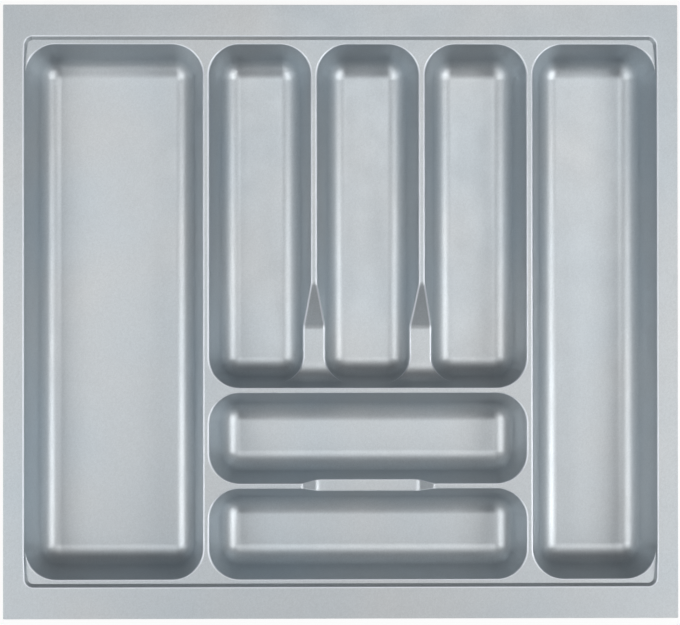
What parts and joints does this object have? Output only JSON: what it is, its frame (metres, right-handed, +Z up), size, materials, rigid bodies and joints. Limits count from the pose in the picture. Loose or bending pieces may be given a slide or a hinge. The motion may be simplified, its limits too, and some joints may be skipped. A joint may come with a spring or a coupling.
{
  "type": "cutlery tray",
  "caption": "Drawer insert formed from one plastic sheet: deep wells side by side and across, low saddles and a finger dip between them, and a flat flange around the rim.",
  "frame": {"origin": "under the middle of the tray, in the plane that the undersides of the well floors stand on", "axes": "+X to the right across the drawer, +Y towards the back of the drawer, +Z up out of the wells"},
  "size_m": [0.52, 0.473, 0.048],
  "materials": {
    "tray_sheet": "satin, silver-grey metallic effect"
  },
  "bodies": {
    "root": {"flange": "tray_sheet", "deck": "tray_sheet", "wide_well_rear": "tray_sheet", "wide_well_front": "tray_sheet", "narrow_well_left": "tray_sheet", "narrow_well_middle": "tray_sheet", "narrow_well_right": "tray_sheet", "side_well_rear": "tray_sheet", "side_well_front": "tray_sheet", "rear_cross_well": "tray_sheet", "front_cross_well": "tray_sheet", "left_saddle": "tray_sheet", "right_saddle": "tray_sheet", "finger_dip": "tray_sheet"}
  },
  "joints": []
}
